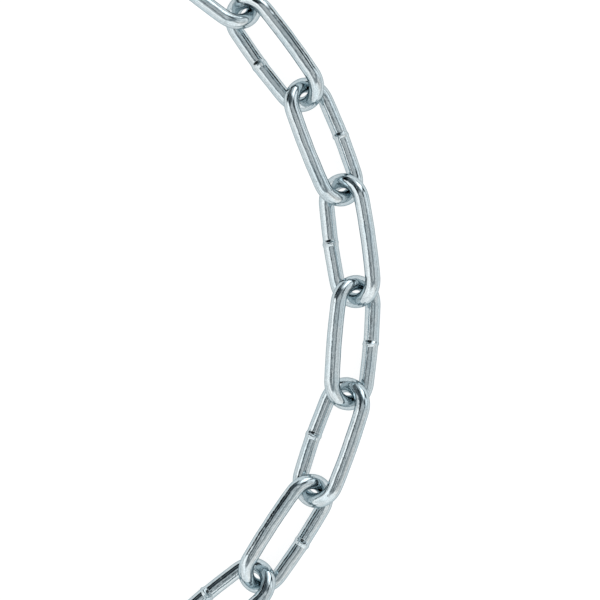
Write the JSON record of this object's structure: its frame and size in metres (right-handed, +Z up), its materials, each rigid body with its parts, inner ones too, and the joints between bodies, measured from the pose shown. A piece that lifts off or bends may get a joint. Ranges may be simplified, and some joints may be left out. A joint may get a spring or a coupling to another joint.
{
  "type": "length of long-link chain",
  "caption": "Length of welded long-link steel chain, bright zinc plated, lying loose in an open C; each link turns in the next.",
  "frame": {"origin": "on the floor, under the middle of the chain's bounding box as it lies in an open C", "axes": "+Z up from the floor; the C is longest along X and opens towards -X; its bend is at +X"},
  "size_m": [0.4332, 0.3028, 0.0145],
  "materials": {
    "zinc_plated_steel": "bright zinc plate, slightly blue, over drawn wire"
  },
  "bodies": {
    "link_01": {"link_01": "zinc_plated_steel"},
    "link_02": {"link_02": "zinc_plated_steel"},
    "link_03": {"link_03": "zinc_plated_steel"},
    "link_04": {"link_04": "zinc_plated_steel"},
    "link_05": {"link_05": "zinc_plated_steel"},
    "link_06": {"link_06": "zinc_plated_steel"},
    "link_07": {"link_07": "zinc_plated_steel"},
    "link_08": {"link_08": "zinc_plated_steel"},
    "link_09": {"link_09": "zinc_plated_steel"},
    "link_10": {"link_10": "zinc_plated_steel"},
    "link_11": {"link_11": "zinc_plated_steel"},
    "link_12": {"link_12": "zinc_plated_steel"},
    "link_13": {"link_13": "zinc_plated_steel"},
    "link_14": {"link_14": "zinc_plated_steel"},
    "link_15": {"link_15": "zinc_plated_steel"},
    "link_16": {"link_16": "zinc_plated_steel"},
    "link_17": {"link_17": "zinc_plated_steel"},
    "link_18": {"link_18": "zinc_plated_steel"},
    "link_19": {"link_19": "zinc_plated_steel"},
    "link_20": {"link_20": "zinc_plated_steel"},
    "link_21": {"link_21": "zinc_plated_steel"},
    "link_22": {"link_22": "zinc_plated_steel"},
    "link_23": {"link_23": "zinc_plated_steel"},
    "link_24": {"link_24": "zinc_plated_steel"},
    "link_25": {"link_25": "zinc_plated_steel"},
    "link_26": {"link_26": "zinc_plated_steel"},
    "link_27": {"link_27": "zinc_plated_steel"},
    "link_28": {"link_28": "zinc_plated_steel"},
    "link_29": {"link_29": "zinc_plated_steel"},
    "link_30": {"link_30": "zinc_plated_steel"}
  },
  "joints": [
    {"name": "bend_01", "type": "hinge", "parent": "link_02", "child": "link_01", "pos_m": [-0.17908, 0.12188, 0.00736], "axis": [0, 0, -1], "range_deg": [-17.4, 24.5]},
    {"name": "bend_02", "type": "hinge", "parent": "link_03", "child": "link_02", "pos_m": [-0.1465, 0.12804, 0.00736], "axis": [0, 0, 1], "range_deg": [-21.6, 20.3]},
    {"name": "bend_03", "type": "hinge", "parent": "link_04", "child": "link_03", "pos_m": [-0.11385, 0.13382, 0.00736], "axis": [0, 0, -1], "range_deg": [-18.8, 23.1]},
    {"name": "bend_04", "type": "hinge", "parent": "link_05", "child": "link_04", "pos_m": [-0.081, 0.13837, 0.00736], "axis": [0, 0, 1], "range_deg": [-24.4, 17.5]},
    {"name": "bend_05", "type": "hinge", "parent": "link_06", "child": "link_05", "pos_m": [-0.04794, 0.14097, 0.00736], "axis": [0, 0, -1], "range_deg": [-20, 21.9]},
    {"name": "bend_06", "type": "hinge", "parent": "link_07", "child": "link_06", "pos_m": [-0.01485, 0.14304, 0.00736], "axis": [0, 0, 1], "range_deg": [-24.8, 17.1]},
    {"name": "bend_07", "type": "hinge", "parent": "link_08", "child": "link_07", "pos_m": [0.01831, 0.14287, 0.00736], "axis": [0, 0, -1], "range_deg": [-17.1, 24.8]},
    {"name": "bend_08", "type": "hinge", "parent": "link_09", "child": "link_08", "pos_m": [0.05138, 0.14046, 0.00736], "axis": [0, 0, 1], "range_deg": [-24.6, 17.3]},
    {"name": "bend_09", "type": "hinge", "parent": "link_10", "child": "link_09", "pos_m": [0.08424, 0.13597, 0.00736], "axis": [0, 0, -1], "range_deg": [-13.4, 28.5]},
    {"name": "bend_10", "type": "hinge", "parent": "link_11", "child": "link_10", "pos_m": [0.11622, 0.12722, 0.00736], "axis": [0, 0, 1], "range_deg": [-30.1, 11.8]},
    {"name": "bend_11", "type": "hinge", "parent": "link_12", "child": "link_11", "pos_m": [0.14642, 0.11352, 0.00736], "axis": [0, 0, -1], "range_deg": [-7, 35]},
    {"name": "bend_12", "type": "hinge", "parent": "link_13", "child": "link_12", "pos_m": [0.17241, 0.09292, 0.00736], "axis": [0, 0, 1], "range_deg": [-36.1, 5.9]},
    {"name": "bend_13", "type": "hinge", "parent": "link_14", "child": "link_13", "pos_m": [0.19213, 0.06627, 0.00736], "axis": [0, 0, -1], "range_deg": [-5.8, 36.2]},
    {"name": "bend_14", "type": "hinge", "parent": "link_15", "child": "link_14", "pos_m": [0.20418, 0.03537, 0.00736], "axis": [0, 0, 1], "range_deg": [-34.3, 7.7]},
    {"name": "bend_15", "type": "hinge", "parent": "link_15", "child": "link_16", "pos_m": [0.20879, 0.00253, 0.00736], "axis": [0, 0, 1], "range_deg": [-8.4, 33.6]},
    {"name": "bend_16", "type": "hinge", "parent": "link_16", "child": "link_17", "pos_m": [0.20613, -0.03052, 0.00736], "axis": [0, 0, -1], "range_deg": [-35.9, 6.1]},
    {"name": "bend_17", "type": "hinge", "parent": "link_17", "child": "link_18", "pos_m": [0.19506, -0.06178, 0.00736], "axis": [0, 0, 1], "range_deg": [-7.4, 34.6]},
    {"name": "bend_18", "type": "hinge", "parent": "link_18", "child": "link_19", "pos_m": [0.17696, -0.08956, 0.00736], "axis": [0, 0, -1], "range_deg": [-38.3, 3.6]},
    {"name": "bend_19", "type": "hinge", "parent": "link_19", "child": "link_20", "pos_m": [0.1514, -0.11069, 0.00736], "axis": [0, 0, 1], "range_deg": [-7, 35]},
    {"name": "bend_20", "type": "hinge", "parent": "link_20", "child": "link_21", "pos_m": [0.1215, -0.12502, 0.00736], "axis": [0, 0, -1], "range_deg": [-31, 10.9]},
    {"name": "bend_21", "type": "hinge", "parent": "link_21", "child": "link_22", "pos_m": [0.08956, -0.13393, 0.00736], "axis": [0, 0, 1], "range_deg": [-15.3, 26.6]},
    {"name": "bend_22", "type": "hinge", "parent": "link_22", "child": "link_23", "pos_m": [0.05689, -0.13964, 0.00736], "axis": [0, 0, -1], "range_deg": [-25.8, 16.1]},
    {"name": "bend_23", "type": "hinge", "parent": "link_23", "child": "link_24", "pos_m": [0.02387, -0.14258, 0.00736], "axis": [0, 0, 1], "range_deg": [-16.3, 25.6]},
    {"name": "bend_24", "type": "hinge", "parent": "link_24", "child": "link_25", "pos_m": [-0.00929, -0.14285, 0.00736], "axis": [0, 0, -1], "range_deg": [-22.3, 19.6]},
    {"name": "bend_25", "type": "hinge", "parent": "link_25", "child": "link_26", "pos_m": [-0.04245, -0.14232, 0.00736], "axis": [0, 0, 1], "range_deg": [-17.4, 24.5]},
    {"name": "bend_26", "type": "hinge", "parent": "link_26", "child": "link_27", "pos_m": [-0.07551, -0.13976, 0.00736], "axis": [0, 0, -1], "range_deg": [-23.4, 18.5]},
    {"name": "bend_27", "type": "hinge", "parent": "link_27", "child": "link_28", "pos_m": [-0.10843, -0.13576, 0.00736], "axis": [0, 0, 1], "range_deg": [-20.3, 21.6]},
    {"name": "bend_28", "type": "hinge", "parent": "link_28", "child": "link_29", "pos_m": [-0.1413, -0.13138, 0.00736], "axis": [0, 0, -1], "range_deg": [-24.5, 17.4]},
    {"name": "bend_29", "type": "hinge", "parent": "link_29", "child": "link_30", "pos_m": [-0.17383, -0.12495, 0.00736], "axis": [0, 0, 1], "range_deg": [-19.8, 22.1]}
  ]
}
